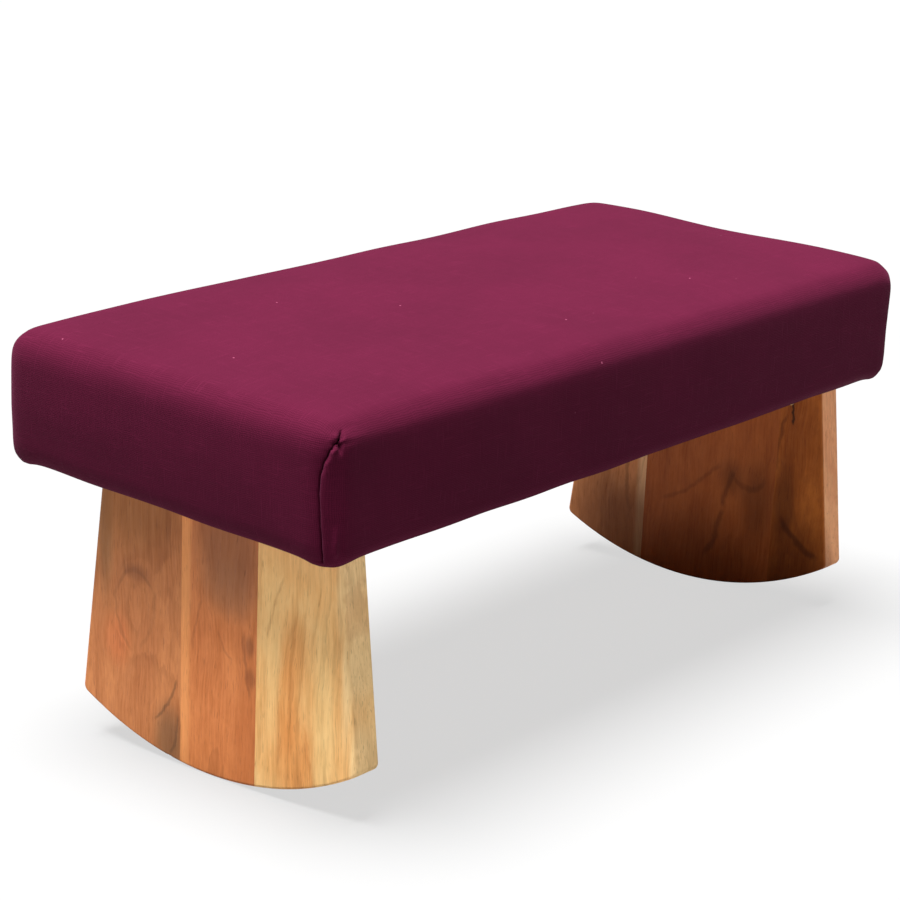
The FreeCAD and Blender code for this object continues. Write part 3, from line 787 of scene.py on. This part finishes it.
def press_fold(item):
    """Form the folded edge, its lapped cloth and the pucker at its top."""
    data = item.data
    moved = {}
    for vertex in data.vertices:
        point, normal = vertex.co, vertex.normal
        if not near_fold(point, FOLD_REACH):
            continue
        around = (point.x - COVER_LOW.x) - (point.y - COVER_LOW.y)
        past = around - fold_line(point.z)
        share = fade_out(point.z, FOLD_TOP, FOLD_TOP_FADE) if point.z >= FOLD_FOOT else 0
        out = FOLD_GROOVE[0] * hump(past, FOLD_GROOVE[1])
        roll = 0.0
        if past > 0:
            out += FOLD_LAP[0] * math.exp(-past / FOLD_LAP[1])
            roll = FOLD_ROLL[0] * hump(past, FOLD_ROLL[1])
        else:
            out += FOLD_DIP[0] * math.exp(past / FOLD_DIP[1])
        out += pucker(around, point.z, PUCKER_PIT) + pucker(around, point.z, PUCKER_LIP)
        low = fade_out(point.z, 0.012, 0.008) * (1 - fade_out(point.z, 0.004, 0.003))
        out += SPARE_RIDGE[0] * low * hump(around - SPARE_RIDGE[1], SPARE_RIDGE[2])
        side = Vector((1, 0, 0)) if normal.y < normal.x else Vector((0, -1, 0))
        moved[vertex.index] = (normal * out + side * roll) * share
    for index, offset in moved.items():
        data.vertices[index].co += offset


CUT_INSET = 0.0002


def cover_shape(settings):
    """The closed shape that the cloth is cut to, swollen by the foam."""
    low = COVER_LOW + Vector((CUT_INSET, CUT_INSET, 0.0))
    high = COVER_HIGH - Vector((CUT_INSET, CUT_INSET, 2 * CUT_INSET))
    block = padded_block(low, high, settings.corner_radius, settings.edge_radius,
                         settings.hem_edge_radius)
    item = to_object(block, "cover_cloth")
    add_modifier(item, "REMESH", mode="VOXEL", voxel_size=settings.voxel)
    apply_modifiers(item)

    def held(point):
        return 1.0 if point.z < FOAM_LOW.z else 0.0

    swell(item, settings, held)
    return item


def trim_hem(item, settings):
    """Cut away the underside inside the hem."""
    def underneath(face):
        return face.normal.z < -0.9 and face.calc_center_median().z < 0.002

    mesh = bmesh.new()
    mesh.from_mesh(item.data)
    mesh.normal_update()
    inner_x = COVER_HIGH.x - settings.hem_width
    inner_y = COVER_HIGH.y - settings.hem_width
    for place, direction in (((inner_x, 0, 0), (1, 0, 0)), ((-inner_x, 0, 0), (1, 0, 0)),
                             ((0, inner_y, 0), (0, 1, 0)), ((0, -inner_y, 0), (0, 1, 0))):
        under = [face for face in mesh.faces if underneath(face)]
        geometry = set(under)
        for face in under:
            geometry.update(face.edges)
            geometry.update(face.verts)
        bmesh.ops.bisect_plane(mesh, geom=list(geometry), plane_co=place, plane_no=direction,
                               dist=1e-5)
    inside = [face for face in mesh.faces
              if underneath(face) and abs(face.calc_center_median().x) < inner_x
              and abs(face.calc_center_median().y) < inner_y]
    bmesh.ops.delete(mesh, geom=inside, context="FACES")
    mesh.to_mesh(item.data)
    mesh.free()


CORNER_CUTS = 3


def refine_corner(item, cuts):
    """Divide the faces round the folded corner, so that the fold is crisp."""
    mesh = bmesh.new()
    mesh.from_mesh(item.data)
    edges = [edge for edge in mesh.edges
             if all(near_fold(vertex.co) and vertex.co.z > -0.001 for vertex in edge.verts)]
    bmesh.ops.subdivide_edges(mesh, edges=edges, cuts=cuts, use_grid_fill=True, smooth=0.0)
    mesh.to_mesh(item.data)
    mesh.free()


def read_mesh(item):
    """A mesh's points and its normals at them, as rows."""
    points = np.empty(len(item.data.vertices) * 3)
    normals = np.empty(len(item.data.vertices) * 3)
    item.data.vertices.foreach_get("co", points)
    item.data.vertices.foreach_get("normal", normals)
    return points.reshape(-1, 3), normals.reshape(-1, 3)


def write_points(item, points):
    item.data.vertices.foreach_set("co", points.ravel())
    item.data.update()


def slow_noise(points, scale, seed):
    """Smooth noise from about -0.5 to 0.5 at each point."""
    return np.array([noise.noise(Vector(point * scale) + Vector((seed, 0, 0))) for point in points])


# How far the cloth leaves its stretched shape: corners hang low, the hem and the sides wander
CORNER_SAG = 0.0010
CORNER_TUCK = 0.0013
TOP_DROOP = 0.0008
SLACK = 0.0009


def ruffle(item):
    """Small unevenness of real upholstery: a wavy lower edge, low corners and slack cloth."""
    points, normals = read_mesh(item)
    lower = np.clip(1 - points[:, 2] / 0.022, 0, 1)
    upper = np.clip((points[:, 2] - 0.035) / 0.03, 0, 1)
    from_corner = (COVER_HIGH.x - abs(points[:, 0])) + (COVER_HIGH.y - abs(points[:, 1]))
    sag = CORNER_SAG * np.exp(-(from_corner / 0.020) ** 2)
    tuck = CORNER_TUCK / (1 + np.exp((from_corner - 0.023) / 0.0026))
    droop = TOP_DROOP * np.exp(-(from_corner / 0.045) ** 2)
    over_foam = np.clip((points[:, 2] - FOAM_LOW.z) / 0.012, 0, 1)
    slack = over_foam * slow_noise(points, 15, 3.1) * SLACK
    wave = slow_noise(points, 22, 7.7) * SLACK
    moved = points + normals * slack[:, None]
    moved[:, 2] -= lower * (sag + tuck + wave) + upper * droop
    write_points(item, moved)


def smooth_shade(item):
    for face in item.data.polygons:
        face.use_smooth = True


def finish_soft(item, material, nodes):
    """Stand a soft piece in the row frame, dress it and give it to the seat."""
    item.data.transform(BENCH)
    smooth_shade(item)
    item.data.materials.clear()
    item.data.materials.append(material)
    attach(item, "seat")
    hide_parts(*nodes)


# The foam's clearance under the swollen cloth, its lower edge and its mesh spacing
FOAM_INSET = 0.003
FOAM_FOOT_RADIUS = 0.0015
FOAM_VOXEL = 0.006


# Operators

class BENCH_OT_cover(bpy.types.Operator):
    """Make the burgundy canvas cover, swollen by the foam and folded at one corner"""
    bl_idname = "bench.cover"
    bl_label = "Cover"

    def execute(self, context):
        settings = context.scene.bench_cushion
        item = cover_shape(settings)
        trim_hem(item, settings)
        add_modifier(item, "SUBSURF", levels=1, render_levels=1)
        apply_modifiers(item)
        ruffle(item)
        refine_corner(item, CORNER_CUTS)
        press_fold(item)
        flat_cloth_uv(item)
        add_modifier(item, "SOLIDIFY", thickness=settings.cloth_thickness, offset=-1)
        apply_modifiers(item)
        finish_soft(item, canvas_material(settings), ["cover"])
        return {"FINISHED"}


class BENCH_OT_foam(bpy.types.Operator):
    """Make the foam pad under the cover"""
    bl_idname = "bench.foam"
    bl_label = "Foam pad"

    def execute(self, context):
        settings = context.scene.bench_cushion
        inset = Vector((FOAM_INSET, FOAM_INSET, 0.0))
        mesh = padded_block(FOAM_LOW + inset, FOAM_HIGH - inset - Vector((0, 0, 2 * FOAM_INSET)),
                            settings.corner_radius - 0.001, settings.edge_radius, FOAM_FOOT_RADIUS)
        item = to_object(mesh, "foam_block")
        add_modifier(item, "REMESH", mode="VOXEL", voxel_size=FOAM_VOXEL)
        apply_modifiers(item)
        finish_soft(item, foam_material(settings), ["foam_pad"])
        return {"FINISHED"}


class BENCH_OT_woodwork(bpy.types.Operator):
    """Give every stave of the legs and the seat board its own piece of wood"""
    bl_idname = "bench.woodwork"
    bl_label = "Woodwork"

    def execute(self, context):
        for side in SIDES:
            for place in ("front", "middle", "rear"):
                paint_nodes(wood_material(f"{side}_{place}_wood"), [f"{side}_leg_{place}_stave"])
        board = wood_material("board_wood")
        paint_nodes(board, [f"seat_board_{place}_stave" for place in ("front", "middle", "rear")])
        return {"FINISHED"}


class BENCH_OT_fittings(bpy.types.Operator):
    """Finish the brass hinges and screws, the steel staples and the nickel magnets"""
    bl_idname = "bench.fittings"
    bl_label = "Fittings"

    def execute(self, context):
        brass = metal_material("hinge brass", (0.72, 0.50, 0.20), (0.42, 0.26, 0.10), (0.22, 0.45))
        screw = metal_material("screw brass", (0.78, 0.58, 0.28), (0.45, 0.30, 0.13), (0.2, 0.4))
        steel = metal_material("staple steel", (0.55, 0.55, 0.56), (0.33, 0.32, 0.31), (0.3, 0.5))
        nickel = metal_material("magnet nickel", (0.68, 0.66, 0.62), (0.50, 0.48, 0.44), (0.12, 0.3))
        for side in SIDES:
            for end in ENDS:
                paint_nodes(brass, [f"{side}_{end}_hinge_{part}"
                                    for part in ("seat_leaf", "leg_leaf", "pin")])
            paint_nodes(screw, [f"{side}_hinge_{part}_screws" for part in ("seat", "leg")])
            paint_nodes(nickel, [f"{side}_leg_magnets"])
        paint_nodes(nickel, ["seat_magnets"])
        paint_nodes(steel, ["cover_staples"])
        return {"FINISHED"}


def floor_material(settings):
    """A pale translucent floor, lit a little from below, that throws less light than it shows."""
    material, tree, shader = new_material("pale floor")
    place = tree.add("ShaderNodeTexCoord").outputs["Object"]
    pale = settings.floor_colour
    cloud = tree.span(tree.noise(place, 2.0, detail=3), 0.3, 0.7)
    link(tree, tree.mix(cloud, [value * 0.99 for value in pale], pale), shader, "Base Color")
    shader.inputs["Roughness"].default_value = 0.9
    shader.inputs["Specular IOR Level"].default_value = 0.0
    shader.inputs["Emission Color"].default_value = (1, 1, 1, 1)
    shader.inputs["Emission Strength"].default_value = settings.floor_glow
    bounce = tree.add("ShaderNodeBsdfDiffuse", {"Color": (*settings.floor_bounce, 1)})
    seen_first = tree.add("ShaderNodeLightPath").outputs["Is Camera Ray"]
    mix = tree.add("ShaderNodeMixShader", {0: seen_first, 1: bounce.outputs[0], 2: shader.outputs[0]})
    tree.feed(material.node_tree.nodes["Material Output"].inputs, Surface=mix.outputs[0])
    return material


def room_world(strength):
    """Even light from all round, from a room that looks white."""
    world = bpy.data.worlds.new("even room light")
    world.use_nodes = True
    tree = Tree(world.node_tree)
    lit = world.node_tree.nodes["Background"]
    lit.inputs["Color"].default_value = (1, 1, 1, 1)
    lit.inputs["Strength"].default_value = strength
    seen = tree.add("ShaderNodeBackground", {"Color": (1, 1, 1, 1), "Strength": 1.0})
    seen_first = tree.add("ShaderNodeLightPath").outputs["Is Camera Ray"]
    mix = tree.add("ShaderNodeMixShader", {0: seen_first, 1: lit.outputs[0], 2: seen.outputs[0]})
    tree.feed(world.node_tree.nodes["World Output"].inputs, Surface=mix.outputs[0])
    return world


def top_light(settings):
    """The wide light overhead."""
    light = bpy.data.lights.new("top light", "SUN")
    light.energy = settings.top_light
    light.angle = settings.top_light_spread
    item = bpy.data.objects.new("top light", light)
    item.rotation_euler = Vector(settings.top_light_direction).to_track_quat("Z", "Y").to_euler()
    bpy.context.scene.collection.objects.link(item)


class BENCH_OT_stage(bpy.types.Operator):
    """Lay the pale floor, hang the soft lights and set the camera"""
    bl_idname = "bench.stage"
    bl_label = "Stage"

    def execute(self, context):
        settings = context.scene.bench_stage
        mesh = bmesh.new()
        bmesh.ops.create_grid(mesh, x_segments=8, y_segments=8, size=settings.floor_size / 2)
        floor = to_object(mesh, "studio_floor")
        floor.data.materials.append(floor_material(settings))

        context.scene.world = room_world(settings.room_light)
        context.scene.view_settings.view_transform = "Standard"
        top_light(settings)

        camera = bpy.data.cameras.new("camera")
        camera.lens = settings.lens
        camera.sensor_width = 36.0
        item = bpy.data.objects.new("camera", camera)
        turn = Euler((math.pi / 2 - settings.elevation, 0, settings.azimuth)).to_matrix()
        item.matrix_world = turn.to_4x4()
        item.location = Vector(settings.target) + turn @ Vector((0, 0, settings.distance))
        context.scene.collection.objects.link(item)
        context.scene.camera = item
        return {"FINISHED"}


OPERATORS = (BENCH_OT_foam, BENCH_OT_cover, BENCH_OT_woodwork, BENCH_OT_fittings, BENCH_OT_stage)


class BENCH_PT_panel(bpy.types.Panel):
    """Lists the bench's settings and the steps that make it"""
    bl_idname = "BENCH_PT_panel"
    bl_label = "Kneeling Bench"
    bl_space_type = "VIEW_3D"
    bl_region_type = "UI"
    bl_category = "Bench"

    def draw(self, context):
        for settings in (context.scene.bench_cushion, context.scene.bench_stage):
            for name in settings.bl_rna.properties.keys():
                if name not in ("rna_type", "name"):
                    self.layout.prop(settings, name)
        for operator in OPERATORS:
            self.layout.operator(operator.bl_idname)


CLASSES = (CushionSettings, StageSettings, *OPERATORS, BENCH_PT_panel)


def register():
    for item in CLASSES:
        bpy.utils.register_class(item)
    bpy.types.Scene.bench_cushion = PointerProperty(type=CushionSettings)
    bpy.types.Scene.bench_stage = PointerProperty(type=StageSettings)


def unregister():
    del bpy.types.Scene.bench_stage
    del bpy.types.Scene.bench_cushion
    for item in reversed(CLASSES):
        bpy.utils.unregister_class(item)


def main():
    register()
    soft_patch_group()
    vein_group()
    grain_group()
    weave_group()
    for operator in OPERATORS:
        family, name = operator.bl_idname.split(".")
        getattr(getattr(bpy.ops, family), name)()


if __name__ == "__main__":
    main()
